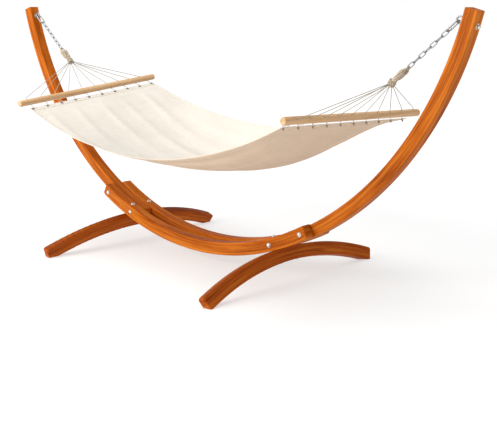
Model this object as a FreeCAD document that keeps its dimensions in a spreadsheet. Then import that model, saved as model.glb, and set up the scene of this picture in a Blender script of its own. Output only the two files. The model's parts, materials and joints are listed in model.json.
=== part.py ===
import FreeCAD, Part
import math
import os
import Sketcher
from FreeCAD import Placement, Rotation, Vector

# Garden hammock on a laminated wooden stand. Millimetres and degrees.
# X runs along the stand, Z is up, and the origin is on the ground below the middle of the stand.
# Every angle round an arc is measured from straight down, towards the end named.

SIZES = {
    # Curved rails and arms. Both lie on arcs centred high above the ground.
    "arc_centre_height": 1686,
    "rail_outer_radius": 1632,
    "rail_depth": 64,
    "rail_width": 56,
    "rail_end_angle": 28.4,
    "rail_corner_radius": 16,
    "arm_outer_radius": 1675,
    "arm_depth": 60,
    "arm_width": 58,
    "arm_blend_angle": 23.5,
    "arm_underside_inset": 0.4,
    "arm_low_angle": 18.0,
    "arm_top_angle": 74.6,
    "arm_corner_radius": 14,
    "timber_edge_radius": 4,
    # Arched cross feet.
    "foot_angle": 20.25,
    "foot_top_radius": 1500,
    "foot_depth": 67,
    "foot_width": 45,
    "foot_half_angle": 23.0,
    "foot_seat_depth": 2.5,
    "foot_end_radius": 12,
    # Bolts, washers and cap nuts.
    "bolt_radius": 5,
    "bolt_clearance": 0.2,
    "upper_bolt_angle": 27.1,
    "lower_bolt_angle": 19.45,
    "bolt_head_radius": 11,
    "bolt_head_height": 6.5,
    "washer_radius": 12,
    "washer_thickness": 2,
    "washer_gap": 0.05,
    "nut_corner_radius": 9.8,
    "nut_hex_height": 8,
    "nut_dome_radius": 8,
    "nut_recess_radius": 14,
    "nut_recess_depth": 14,
    # Eye bolts at the tops of the arms.
    "eye_angle": 72.5,
    "eye_standoff": 22,
    "eye_ring_radius": 14,
    "eye_wire_radius": 4,
    # Snap hooks, with a sprung gate on one side.
    "hook_wire_radius": 3.5,
    "hook_bend_radius": 14,
    "hook_straight": 40,
    "hook_play": 1.8,
    "gate_radius": 3,
    "gate_gap_start": 3,
    "gate_pivot": 36.5,
    "gate_pin_radius": 1.2,
    "gate_tongue": 2.6,
    "gate_slot": 3.2,
    # Chains.
    "chain_links": 7,
    "chain_wire_radius": 2.5,
    "chain_bend_radius": 7.5,
    "chain_straight": 25,
    "chain_play": 0.2,
    # Rope eye, its whipping and the fan of cords.
    "rope_radius": 3.5,
    "rope_play": 0.8,
    "rope_eye_length": 88,
    "rope_eye_half_width": 13,
    "rope_neck_half_width": 7,
    "rope_leg_start": 20,
    "rope_leg_radius": 7.2,
    "whipping_length": 36,
    "whipping_neck_radius": 12,
    "whipping_belly_radius": 18,
    "cord_radius": 1.75,
    "cord_count": 10,
    "cord_fan_pitch": 3.8,
    "cord_fan_stagger": 2.3,
    "cord_bend_radius": 5,
    # Spreader bars.
    "bar_offset": 985,
    "bar_height": 823,
    "bar_length": 940,
    "bar_radius": 17.5,
    "bar_end_radius": 6,
    "bar_hole_radius": 2.8,
    "bar_end_margin": 55,
    "left_bar_tilt": 6,
    "right_bar_tilt": -2.6,
    # Canvas bed and its eyelets.
    "canvas_half_length": 950,
    "canvas_half_width": 434,
    "canvas_narrowing": 18,
    "canvas_thickness": 6,
    "canvas_hem_height": 795.5,
    "canvas_edge_sag": 173,
    "canvas_trough": 118,
    "canvas_lean": 0.3,
    "canvas_middle_roll": 6,
    "eyelet_inset": 15,
    "eyelet_radius": 7.5,
    "eyelet_hole_radius": 4,
    "eyelet_thickness": 7.5,
    "lashing_rise": 7,
    "lashing_tail": 9,
    "lashing_knot_radius": 3.6,
}

X_AXIS = Vector(1, 0, 0)
Y_AXIS = Vector(0, 1, 0)
Z_AXIS = Vector(0, 0, 1)
SIDES = {"left": -1, "right": 1}

document = FreeCAD.newDocument("HammockOnStand")
sheet = document.addObject("Spreadsheet::Sheet", "Sizes")
for row, (alias, number) in enumerate(SIZES.items(), start=1):
    sheet.set("A%d" % row, alias.replace("_", " "))
    sheet.set("B%d" % row, str(number))
    sheet.setAlias("B%d" % row, alias)
document.recompute()

nodes = []


def size(alias):
    """The number in the sheet's cell with this alias."""
    return float(sheet.get(alias))


def bind(item, **expressions):
    """Bind properties of a document object to expressions in the sheet's aliases."""
    for name, expression in expressions.items():
        item.setExpression(name, expression)


def node(item, label):
    """Mark an object as a finished sub-part with this name."""
    item.Label = label
    nodes.append(item)
    return item


def direction(angle):
    """Unit vector at an angle from straight down, towards +X."""
    return Vector(math.sin(math.radians(angle)), 0, -math.cos(math.radians(angle)))


def mirrored(vector, side):
    """The same place on the left when side is -1."""
    return Vector(side * vector.x, vector.y, vector.z)


def oriented(origin, x_axis, z_axis):
    """Placement at origin whose local X and Z axes point the given ways."""
    return Placement(origin, Rotation(x_axis, z_axis.cross(x_axis), z_axis, "ZXY"))


# ---------------------------------------------------------------- basic solids

def cylinder(name, radius, height):
    """Cylinder along +Z from its base; radius and height are expressions."""
    item = document.addObject("Part::Cylinder", name)
    bind(item, Radius=radius, Height=height)
    return item


def box(name, length, width, height):
    """Box centred on X and Y, standing on its local XY plane."""
    item = document.addObject("Part::Box", name)
    bind(item, Length=length, Width=width, Height=height)
    document.recompute()
    item.Placement.Base = Vector(-item.Length.Value / 2, -item.Width.Value / 2, 0)
    return item


def moved(item, placement):
    """Put an object at a placement, on top of the one it already has."""
    item.Placement = placement.multiply(item.Placement)
    return item


def fused(name, shapes):
    item = document.addObject("Part::MultiFuse", name)
    item.Shapes = shapes
    return item


def cut(name, base, tools):
    """Base with every tool taken away."""
    tool = tools[0] if len(tools) == 1 else fused(name + "_tools", tools)
    item = document.addObject("Part::Cut", name)
    item.Base = base
    item.Tool = tool
    return item


def stamped(label, master, placements):
    """One node that holds a copy of the master at each placement."""
    document.recompute()
    item = document.addObject("Part::Feature", label)
    item.Shape = Part.makeCompound([master.Shape.transformed(place.toMatrix()) for place in placements])
    return node(item, label)


# ---------------------------------------------------------------- curved timbers

def arc_outline(body, plane, centre_x, centre_y, outer, inner, start, end):
    """Sketch of a ring sector. All the sizes are expressions; start and end are sketch angles."""
    sketch = body.newObject("Sketcher::SketchObject", body.Name + "_outline")
    sketch.AttachmentSupport = [(origin_plane(body, plane), "")]
    sketch.MapMode = "FlatFace"
    values = [evaluate(item) for item in (centre_x, centre_y, outer, inner, start, end)]
    centre = Vector(values[0], values[1], 0)
    first, last = math.radians(values[4]), math.radians(values[5])
    for radius in values[2:4]:
        circle = Part.Circle(centre, Z_AXIS, radius)
        sketch.addGeometry(Part.ArcOfCircle(circle, first, last), False)
    for angle in (first, last):
        ray = Vector(math.cos(angle), math.sin(angle), 0)
        sketch.addGeometry(Part.LineSegment(centre + ray * values[3], centre + ray * values[2]), False)
    sketch.addConstraint([
        Sketcher.Constraint("Coincident", 0, 3, 1, 3),
        Sketcher.Constraint("Coincident", 2, 1, 1, 1),
        Sketcher.Constraint("Coincident", 2, 2, 0, 1),
        Sketcher.Constraint("Coincident", 3, 1, 1, 2),
        Sketcher.Constraint("Coincident", 3, 2, 0, 2),
    ])
    driving = {
        "centre_across": (Sketcher.Constraint("DistanceX", -1, 1, 0, 3, values[0]), centre_x),
        "centre_up": (Sketcher.Constraint("DistanceY", -1, 1, 0, 3, values[1]), centre_y),
        "outer_radius": (Sketcher.Constraint("Radius", 0, values[2]), outer),
        "inner_radius": (Sketcher.Constraint("Radius", 1, values[3]), inner),
        "start_angle": (Sketcher.Constraint("Angle", 2, first), "(%s) * 1deg" % start),
        "end_angle": (Sketcher.Constraint("Angle", 3, last), "(%s) * 1deg" % end),
    }
    for name, (constraint, expression) in driving.items():
        index = sketch.addConstraint(constraint)
        sketch.renameConstraint(index, name)
        sketch.setExpression(".Constraints." + name, expression)
    return sketch


def origin_plane(body, role):
    """One of a body's own origin planes."""
    return next(item for item in body.Origin.OriginFeatures if item.Role == role)


def evaluate(expression):
    """Number that an expression in the sheet's aliases gives."""
    return float(sheet.evalExpression(expression))


def rounded(body, feature, radius, test, name):
    """Round the edges of a body's last feature that pass a test."""
    document.recompute()
    fillet = body.newObject("PartDesign::Fillet", name)
    chosen = ["Edge%d" % index for index, edge in enumerate(feature.Shape.Edges, start=1) if test(edge)]
    fillet.Base = (feature, chosen)
    bind(fillet, Radius=radius)
    body.Tip = fillet
    return fillet


def curved_timber(name, plane, sector, width, corner_radius, big_corner, flat):
    """Curved beam: a padded ring sector with some big round corners and eased edges.

    big_corner picks the big corners by a point on them, and flat gives a point's distance
    from the beam's middle plane.
    """
    body = document.addObject("PartDesign::Body", name)
    sketch = arc_outline(body, plane, *sector)
    pad = body.newObject("PartDesign::Pad", name + "_pad")
    pad.Profile = sketch
    pad.SideType = "Symmetric"
    bind(pad, Length=width)
    document.recompute()
    side = evaluate(width) / 2

    def is_across(edge):
        return abs(edge.Length - 2 * side) < 0.01

    small_corners = [edge.Vertexes[0].Point for edge in pad.Shape.Edges
                     if is_across(edge) and not big_corner(edge.Vertexes[0].Point)]

    def is_small_corner(edge):
        return is_across(edge) and any((vertex.Point - corner).Length < 0.01
                                       for vertex in edge.Vertexes for corner in small_corners)

    def is_outline(edge):
        return not is_across(edge) and all(abs(abs(flat(vertex.Point)) - side) < 0.01
                                           for vertex in edge.Vertexes)

    big = rounded(body, pad, corner_radius,
                  lambda edge: is_across(edge) and big_corner(edge.Vertexes[0].Point), name + "_big_corners")
    small = rounded(body, big, "Sizes.timber_edge_radius", is_small_corner, name + "_small_corners")
    rounded(body, small, "Sizes.timber_edge_radius", is_outline, name + "_edges")
    document.recompute()
    return body


RAIL_CENTRE = Vector(0, 0, size("arc_centre_height"))
RADIUS_STEP = size("rail_outer_radius") - size("arm_underside_inset") - size("arm_outer_radius")
ARM_CENTRE = RAIL_CENTRE + direction(size("arm_blend_angle")) * RADIUS_STEP
STEP = "(Sizes.rail_outer_radius - Sizes.arm_underside_inset - Sizes.arm_outer_radius)"
ARM_CENTRE_X = STEP + " * sin(Sizes.arm_blend_angle)"
ARM_CENTRE_Z = "Sizes.arc_centre_height - " + STEP + " * cos(Sizes.arm_blend_angle)"


def is_outer(point, radius):
    """Whether a point of a rail or arm lies on its underside arc about the rails' centre."""
    return abs((Vector(point.x, 0, point.z) - RAIL_CENTRE).Length - radius) < 1


def rail(name):
    sector = ("0", "Sizes.arc_centre_height", "Sizes.rail_outer_radius",
              "Sizes.rail_outer_radius - Sizes.rail_depth",
              "-90 - Sizes.rail_end_angle", "Sizes.rail_end_angle - 90")
    return curved_timber(name, "XZ_Plane", sector, "Sizes.rail_width", "Sizes.rail_corner_radius",
                         lambda point: is_outer(point, size("rail_outer_radius")), lambda point: point.y)


def arm(name, side):
    centre_x = ARM_CENTRE_X if side > 0 else "-" + ARM_CENTRE_X
    angles = ("Sizes.arm_low_angle - 90", "Sizes.arm_top_angle - 90")
    if side < 0:
        angles = ("-90 - Sizes.arm_top_angle", "-90 - Sizes.arm_low_angle")
    sector = (centre_x, ARM_CENTRE_Z, "Sizes.arm_outer_radius",
              "Sizes.arm_outer_radius - Sizes.arm_depth") + angles
    low_corner = ARM_CENTRE + direction(size("arm_low_angle")) * (size("arm_outer_radius") - size("arm_depth"))
    low_corner = mirrored(low_corner, side)
    return curved_timber(name, "XZ_Plane", sector, "Sizes.arm_width", "Sizes.arm_corner_radius",
                         lambda point: (Vector(point.x, 0, point.z) - low_corner).Length < 1,
                         lambda point: point.y)


def foot(name):
    """Arched foot in its own frame: the rails' underside rests on its XY plane."""
    sector = ("0", "Sizes.foot_seat_depth - Sizes.foot_top_radius", "Sizes.foot_top_radius",
              "Sizes.foot_top_radius - Sizes.foot_depth",
              "90 - Sizes.foot_half_angle", "90 + Sizes.foot_half_angle")
    centre = Vector(0, 0, size("foot_seat_depth") - size("foot_top_radius"))
    return curved_timber(name, "YZ_Plane", sector, "Sizes.foot_width", "Sizes.foot_end_radius",
                         lambda point: abs((Vector(0, point.y, point.z) - centre).Length
                                           - size("foot_top_radius")) < 1,
                         lambda point: point.x)


# ---------------------------------------------------------------- where things are

def across_frame(angle, side, radius):
    """Frame of a cross bolt: its head faces -Y, at a radius and angle about the rails' centre."""
    return oriented(mirrored(RAIL_CENTRE + direction(angle) * radius, side), X_AXIS, -Y_AXIS)


def foot_frame(side):
    """Frame of a foot: +Z points from the foot to the rails' centre."""
    seat = mirrored(RAIL_CENTRE + direction(size("foot_angle")) * size("rail_outer_radius"), side)
    up = mirrored(-direction(size("foot_angle")), side)
    return oriented(seat, Y_AXIS.cross(up), up)


def eye_frame(side):
    """Frame of an eye bolt: origin at the ring's centre, +Z along the shank, into the arm."""
    outward = mirrored(direction(size("eye_angle")), side)
    ring = size("arm_outer_radius") - size("arm_depth") - size("eye_standoff")
    centre = mirrored(ARM_CENTRE + direction(size("eye_angle")) * ring, side)
    return oriented(centre, Y_AXIS, outward)


def bar_centre(side):
    return Vector(side * size("bar_offset"), 0, size("bar_height"))


def line_direction(side):
    """Unit vector down the taut suspension, from the eye to the bar's centre."""
    return (bar_centre(side) - eye_frame(side).Base).normalize()


def line_frame(side, distance, turned=False):
    """Frame on the suspension line: +Z down the line, X along Y, or square to it when turned."""
    down = line_direction(side)
    x_axis = Y_AXIS.cross(down) if turned else Y_AXIS
    return oriented(eye_frame(side).Base + down * distance, x_axis, down)


HALF_RAIL_GAP = (size("arm_width") + size("rail_width")) / 2
CROSS_REACH = size("arm_width") / 2 + size("rail_width")
HOOK_START = size("eye_ring_radius") - size("eye_wire_radius") - size("hook_wire_radius") - size("hook_play")
HOOK_PITCH = size("hook_straight") + 2 * size("hook_bend_radius")
LINK_PITCH = size("chain_straight") + 2 * size("chain_bend_radius") - 2 * size("chain_wire_radius")
FIRST_LINK = (HOOK_START + HOOK_PITCH - size("hook_wire_radius") - size("chain_wire_radius")
              - size("chain_play") + size("chain_bend_radius") + size("chain_straight") / 2)
LINK_STEP = LINK_PITCH - size("chain_play")
LINK_COUNT = int(size("chain_links"))
LAST_LINK = FIRST_LINK + LINK_STEP * (LINK_COUNT - 1)
ROPE_START = (LAST_LINK + size("chain_straight") / 2 + size("chain_bend_radius")
              - size("chain_wire_radius") - size("rope_radius") - size("rope_play"))
NECK = ROPE_START + size("rope_eye_length")
FAN = NECK + size("whipping_length")


# ---------------------------------------------------------------- fasteners

def carriage_bolt(name, length):
    """Bolt with a domed head; the head's flat side is on the XY plane and the shank runs down -Z."""
    shank = cylinder(name + "_shank", "Sizes.bolt_radius", length)
    document.recompute()
    shank.Placement.Base = Vector(0, 0, -shank.Height.Value)
    radius, height = size("bolt_head_radius"), size("bolt_head_height")
    ball = (radius ** 2 + height ** 2) / (2 * height)
    head = document.addObject("Part::Sphere", name + "_head")
    bind(head, Radius="(Sizes.bolt_head_radius ^ 2 + Sizes.bolt_head_height ^ 2) / (2 * Sizes.bolt_head_height)")
    head.Angle1 = math.degrees(math.asin((ball - height) / ball))
    head.Placement.Base = Vector(0, 0, height - ball)
    return fused(name, [shank, head])


def washer(name):
    ring = cylinder(name + "_disc", "Sizes.washer_radius", "Sizes.washer_thickness")
    hole = cylinder(name + "_hole", "Sizes.bolt_radius + Sizes.bolt_clearance", "Sizes.washer_thickness")
    return cut(name, ring, [hole])


def cap_nut(name):
    """Hexagonal cap nut standing on the XY plane with its dome up."""
    prism = document.addObject("Part::Prism", name + "_hexagon")
    prism.Polygon = 6
    bind(prism, Circumradius="Sizes.nut_corner_radius", Height="Sizes.nut_hex_height")
    dome = document.addObject("Part::Sphere", name + "_dome")
    bind(dome, Radius="Sizes.nut_dome_radius")
    dome.Angle1 = 0
    dome.Placement.Base = Vector(0, 0, size("nut_hex_height"))
    solid = fused(name + "_solid", [prism, dome])
    bore = cylinder(name + "_bore", "Sizes.bolt_radius", "Sizes.nut_hex_height + 3")
    return cut(name, solid, [bore])


def lifted(height):
    return Placement(Vector(0, 0, height), Rotation())


def turned_over(height):
    return Placement(Vector(0, 0, height), Rotation(X_AXIS, 180))


# ---------------------------------------------------------------- bent wire

def half_ring(name, bend, wire, centre_z, upper):
    """Half a torus in the XZ plane, joining the two sides of a loop."""
    ring = document.addObject("Part::Torus", name)
    bind(ring, Radius1=bend, Radius2=wire)
    ring.Angle3 = 180
    spin = Rotation(X_AXIS, -90 if upper else 90)
    ring.Placement = Placement(Vector(0, 0, centre_z), spin)
    return ring


def wire_side(name, wire, start_z, end_z, x):
    rod = document.addObject("Part::Cylinder", name)
    bind(rod, Radius=wire)
    rod.Height = end_z - start_z
    rod.Placement.Base = Vector(x, 0, start_z)
    return rod


def chain_link(name):
    """Long link in the XZ plane, centred on the origin, long along Z."""
    bend, half = size("chain_bend_radius"), size("chain_straight") / 2
    wire = "Sizes.chain_wire_radius"
    return fused(name, [
        half_ring(name + "_top", "Sizes.chain_bend_radius", wire, -half, True),
        half_ring(name + "_bottom", "Sizes.chain_bend_radius", wire, half, False),
        wire_side(name + "_side_a", wire, -half, half, -bend),
        wire_side(name + "_side_b", wire, -half, half, bend),
    ])


def snap_hook(name):
    """Hook in the XZ plane: its top bend crosses the origin, and its open side is at +X."""
    bend, straight = size("hook_bend_radius"), size("hook_straight")
    wire = "Sizes.hook_wire_radius"
    ear_start = bend + size("gate_pivot") - 2.7
    solid = fused(name + "_wire", [
        half_ring(name + "_top", "Sizes.hook_bend_radius", wire, bend, True),
        half_ring(name + "_bottom", "Sizes.hook_bend_radius", wire, bend + straight, False),
        wire_side(name + "_back", wire, bend, bend + straight, -bend),
        wire_side(name + "_nose", wire, bend, bend + size("gate_gap_start"), bend),
        wire_side(name + "_ears", wire, ear_start, bend + straight, bend),
    ])
    slot = box(name + "_slot", "4 * Sizes.hook_wire_radius", "Sizes.gate_slot", "Sizes.hook_wire_radius * 2")
    moved(slot, Placement(Vector(bend, 0, ear_start - 0.5), Rotation()))
    pin_hole = gate_pin_solid(name + "_pin_hole", "Sizes.gate_pin_radius + 0.03")
    return cut(name, solid, [slot, pin_hole])


def gate_pin_solid(name, radius):
    """Pin across the hook's ears, along Y."""
    pin = cylinder(name, radius, "2 * Sizes.hook_wire_radius - 0.4")
    document.recompute()
    pivot = Vector(size("hook_bend_radius"), 0, size("hook_bend_radius") + size("gate_pivot"))
    moved(pin, Placement(pivot + Y_AXIS * (pin.Height.Value / 2), Rotation(X_AXIS, 90)))
    return pin


def hook_gate(name):
    """Gate rod with a flat tongue that turns on the pin, in the hook's frame."""
    bend = size("hook_bend_radius")
    start = bend + size("gate_gap_start") + 0.4
    pivot = bend + size("gate_pivot")
    rod = wire_side(name + "_rod", "Sizes.gate_radius", start, pivot - 4.5, bend)
    tongue = box(name + "_tongue", "5", "Sizes.gate_tongue", "6")
    moved(tongue, Placement(Vector(bend, 0, pivot - 6), Rotation()))
    knuckle = cylinder(name + "_knuckle", "2.5", "Sizes.gate_tongue")
    moved(knuckle, Placement(Vector(bend, size("gate_tongue") / 2, pivot), Rotation(X_AXIS, 90)))
    solid = fused(name + "_solid", [rod, tongue, knuckle])
    return cut(name, solid, [gate_pin_solid(name + "_bore", "Sizes.gate_pin_radius + 0.05")])


def eye_bolt(name):
    """Ring round the origin in the YZ plane with a shank along +Z, so the hook hangs square to it."""
    ring = document.addObject("Part::Torus", name + "_ring")
    bind(ring, Radius1="Sizes.eye_ring_radius", Radius2="Sizes.eye_wire_radius")
    ring.Placement.Rotation = Rotation(Y_AXIS, 90)
    shank = cylinder(name + "_shank", "Sizes.bolt_radius",
                     "Sizes.eye_standoff + Sizes.arm_depth + Sizes.washer_thickness + Sizes.nut_hex_height"
                     " - Sizes.eye_ring_radius")
    shank.Placement.Base = Vector(0, 0, size("eye_ring_radius"))
    return fused(name, [ring, shank])


# ---------------------------------------------------------------- cords and canvas

def rounded_path(points, radii):
    """Wire of straight runs joined by tangent arcs, one radius for each inner point."""
    edges = []
    start = points[0]
    for before, corner, after, radius in zip(points, points[1:], points[2:], radii):
        back = (before - corner).normalize()
        ahead = (after - corner).normalize()
        half_turn = (math.pi - back.getAngle(ahead)) / 2
        reach = radius * math.tan(half_turn)
        middle_reach = radius * (1 / math.cos(half_turn) - 1)
        arc_start, arc_end = corner + back * reach, corner + ahead * reach
        arc_middle = corner + (back + ahead).normalize() * middle_reach
        edges.append(Part.LineSegment(start, arc_start).toShape())
        edges.append(Part.Arc(arc_start, arc_middle, arc_end).toShape())
        start = arc_end
    edges.append(Part.LineSegment(start, points[-1]).toShape())
    return Part.Wire(edges)


def tube(name, points, radii, radius):
    """Round tube along a rounded path, whose bends and length are printed."""
    path = rounded_path(points, radii)
    print("%s: bend radii %s mm, length %.0f mm" % (name, radii, path.Length))
    along = points[1] - points[0]
    profile = Part.Wire([Part.makeCircle(radius, points[0], along)])
    solid = path.makePipeShell([profile], True, True)
    expected = math.pi * radius ** 2 * path.Length
    if abs(solid.Volume - expected) > 0.03 * expected:
        raise RuntimeError("a cord's volume is wrong")
    return solid


def soft_node(label, shapes):
    """Node whose shape is worked out here, from the sheet's sizes."""
    item = document.addObject("Part::Feature", label)
    item.Shape = Part.makeCompound(shapes) if len(shapes) > 1 else shapes[0]
    return node(item, label)


def bar_tilt(side):
    return size("left_bar_tilt") if side < 0 else size("right_bar_tilt")


def bar_frame(side):
    """Frame of a spreader bar: Y along the bar, Z down the suspension line."""
    tilt = Rotation(X_AXIS, bar_tilt(side))
    down = tilt.multVec(line_direction(side))
    along = tilt.multVec(Y_AXIS)
    return Placement(bar_centre(side), Rotation(along.cross(down), along, down, "ZXY"))


def hole_places():
    """Distances of the cord holes from the bar's middle."""
    count = int(size("cord_count"))
    reach = size("bar_length") / 2 - size("bar_end_margin")
    return [reach * (2 * index / (count - 1) - 1) for index in range(count)]


def hem_slope():
    return math.degrees(math.atan(2 * size("canvas_edge_sag") / size("canvas_half_length")))


def edge_height(x):
    """Height of the canvas's side edges, before its roll, along a shallow parabola."""
    share = x / size("canvas_half_length")
    return size("canvas_hem_height") - size("canvas_edge_sag") * (1 - share ** 2)


def hem_frame(side):
    """Frame of the row of eyelets: X towards the bar along the canvas, Y along the hem, Z up from it."""
    x = side * (size("canvas_half_length") - size("eyelet_inset"))
    tilt = Rotation(X_AXIS, bar_tilt(side))
    slope = Rotation(Y_AXIS, -side * hem_slope())
    out = slope.multVec(X_AXIS * side)
    up = slope.multVec(Z_AXIS)
    base = Vector(x, 0, edge_height(x))
    return Placement(base, Rotation(tilt.multVec(out), tilt.multVec(up).cross(tilt.multVec(out)),
                                    tilt.multVec(up), "ZXY"))


def clew_cord(side, index, place):
    """One cord: from the whipping through the bar's hole, over the hem and through its eyelet."""
    count = int(size("cord_count"))
    bar, hem = bar_frame(side), hem_frame(side)
    stagger = size("cord_fan_stagger") * (1 if index % 2 else -1)
    fan = line_frame(side, FAN).multVec(Vector((index - (count - 1) / 2) * size("cord_fan_pitch"), stagger, 0))
    clear = size("bar_radius") + 3
    hem_place = place if hem.Rotation.multVec(Y_AXIS).y > 0 else -place
    points = [
        fan,
        bar.multVec(Vector(0, place, -clear)),
        bar.multVec(Vector(0, place, clear)),
        hem.multVec(Vector(1.5, hem_place, size("lashing_rise"))),
        hem.multVec(Vector(0, hem_place, -size("lashing_tail"))),
    ]
    bend = size("cord_bend_radius")
    cord = tube("cord %d at x %.0f" % (index + 1, bar.Base.x), points, [bend, bend, bend], size("cord_radius"))
    knot = Part.makeSphere(size("lashing_knot_radius"), points[-1])
    return cord.fuse(knot)


def canvas_roll(share):
    """Roll of the canvas at a share of its half length, through both bars' tilts and the middle roll."""
    left, right, middle = size("left_bar_tilt"), size("right_bar_tilt"), size("canvas_middle_roll")
    return middle + (right - left) / 2 * share + ((left + right) / 2 - middle) * share ** 2


def canvas_fullness(share):
    """How deep the trough is at a share of the half length: it stays full towards the right bar."""
    taper = 6 if share > 0 else 2
    return (1 + size("canvas_lean") * share) * (1 - abs(share) ** taper) ** 2


def canvas_section(share):
    """Closed outline across the canvas: a shallow trough, rolled about its centre of area."""
    x = share * size("canvas_half_length")
    fullness = canvas_fullness(share)
    trough = size("canvas_trough") * fullness
    half_width = size("canvas_half_width") - size("canvas_narrowing") * fullness
    centre = Vector(x, 0, edge_height(x) - 2 / 3 * trough)
    roll = Rotation(X_AXIS, canvas_roll(share))
    curves = []
    for lift in (size("canvas_thickness") / 2, -size("canvas_thickness") / 2):
        points = []
        for across in (-1, -0.75, -0.4, 0, 0.4, 0.75, 1):
            height = trough * (across ** 2 - 1 + 2 / 3) + lift
            points.append(centre + roll.multVec(Vector(0, half_width * across, height)))
        curve = Part.BSplineCurve()
        curve.interpolate(points)
        curves.append((curve, points))
    (top, top_points), (bottom, bottom_points) = curves
    return Part.Wire([
        top.toShape(),
        Part.LineSegment(top_points[-1], bottom_points[-1]).toShape(),
        bottom.toShape().reversed(),
        Part.LineSegment(bottom_points[0], top_points[0]).toShape(),
    ])


def canvas(name):
    """Canvas bed with a round hole for each eyelet."""
    shares = (-1, -0.94, -0.82, -0.62, -0.4, -0.2, 0, 0.2, 0.4, 0.62, 0.74, 0.84, 0.92, 0.97, 1)
    solid = Part.makeLoft([canvas_section(share) for share in shares], True, False)
    holes = []
    for side in SIDES.values():
        for place in hole_places():
            base = hem_frame(side).multVec(Vector(0, place, -20))
            up = hem_frame(side).Rotation.multVec(Z_AXIS)
            holes.append(Part.makeCylinder(size("eyelet_radius") + 0.3, 40, base, up))
    return soft_node(name, [solid.cut(holes)])


def eyelet(name):
    """Metal eyelet, centred on the origin with its axis along Z."""
    disc = cylinder(name + "_disc", "Sizes.eyelet_radius", "Sizes.eyelet_thickness")
    hole = cylinder(name + "_hole", "Sizes.eyelet_hole_radius", "Sizes.eyelet_thickness")
    for item in (disc, hole):
        item.Placement.Base = Vector(0, 0, -size("eyelet_thickness") / 2)
    return cut(name, disc, [hole])


def rope_leg(frame, start, end):
    """Swollen stretch of one leg of the eye, where its strands lie loosely side by side."""
    base = frame.multVec(start)
    along = frame.multVec(end) - base
    thin, fat, length = size("rope_radius"), size("rope_leg_radius"), along.Length
    outline = [Vector(0, 0, 0), Vector(thin - 0.2, 0, 0), Vector(fat - 1.5, 0, length * 0.22),
               Vector(fat, 0, length * 0.5), Vector(fat, 0, length), Vector(0, 0, length)]
    face = Part.Face(Part.makePolygon(outline + outline[:1]))
    solid = face.revolve(Vector(), Z_AXIS, 360)
    return solid.transformed(Placement(base, Rotation(Z_AXIS, along)).toMatrix())


def rope_eye(side):
    """Loop of rope through the last link, its legs ending in the whipping."""
    wide, narrow = size("rope_eye_half_width"), size("rope_neck_half_width")
    frame = line_frame(side, ROPE_START)
    shoulder = 0.45 * size("rope_eye_length")
    outline = [(-narrow, size("rope_eye_length")), (-wide, shoulder), (-wide, 0),
               (wide, 0), (wide, shoulder), (narrow, size("rope_eye_length"))]
    points = [frame.multVec(Vector(across, 0, down)) for across, down in outline]
    top_bend = wide - 1.5
    shoulder_bend = 150
    radii = [shoulder_bend, top_bend, top_bend, shoulder_bend]
    loop = tube("rope eye at x %.0f" % frame.Base.x, points, radii, size("rope_radius"))
    legs = [rope_leg(frame, Vector(sign * wide, 0, size("rope_leg_start")),
                     Vector(sign * narrow, 0, size("rope_eye_length") + 4)) for sign in SIDES.values()]
    return loop.fuse(legs)


def whipping(side):
    """Bound knot: a barrel of revolution about the suspension line."""
    neck, belly, length = size("whipping_neck_radius"), size("whipping_belly_radius"), size("whipping_length")
    outline = [Vector(0, 0, 0), Vector(neck, 0, 0), Vector(belly, 0, length * 0.35),
               Vector(belly, 0, length * 0.8), Vector(belly - 2, 0, length), Vector(0, 0, length)]
    face = Part.Face(Part.makePolygon(outline + outline[:1]))
    solid = face.revolve(Vector(), Z_AXIS, 360)
    return solid.transformed(line_frame(side, NECK).toMatrix())


# ---------------------------------------------------------------- the stand

HOLE = "Sizes.bolt_radius + Sizes.bolt_clearance"
MID_DEPTH = size("rail_outer_radius") - size("rail_depth") / 2
CROSS_FRAMES = {side: [across_frame(size(angle), side, MID_DEPTH) for angle in
                       ("upper_bolt_angle", "lower_bolt_angle")] for side in SIDES.values()}


def cross_holes(name, sides):
    """Long drills along Y at every cross bolt of the given sides."""
    drills = []
    for side in sides:
        for index, frame in enumerate(CROSS_FRAMES[side]):
            drill = cylinder("%s_drill_%d_%d" % (name, side + 1, index), HOLE, "400")
            drills.append(moved(drill, frame.multiply(lifted(-200))))
    return drills


def foot_holes(name, side, places):
    """Long drills along a foot's own Z at the given distances from the middle."""
    drills = []
    for place in places:
        drill = cylinder("%s_foot_drill_%d_%d" % (name, side + 1, place + 100), HOLE, "400")
        drills.append(moved(drill, foot_frame(side).multiply(Placement(Vector(0, place, -200), Rotation()))))
    return drills


for label, sign in (("near_rail", -1), ("far_rail", 1)):
    blank = rail(label + "_blank")
    blank.Placement.Base = Vector(0, sign * HALF_RAIL_GAP, 0)
    drills = cross_holes(label, SIDES.values())
    for side in SIDES.values():
        drills += foot_holes(label, side, [sign * HALF_RAIL_GAP])
    node(cut(label + "_cut", blank, drills), label)

for word, side in SIDES.items():
    blank = arm(word + "_arm_blank", side)
    eye_drill = moved(cylinder(word + "_eye_drill", HOLE, "200"), eye_frame(side))
    node(cut(word + "_arm_cut", blank, cross_holes(word + "_arm", [side]) + [eye_drill]), word + "_arm")

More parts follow.
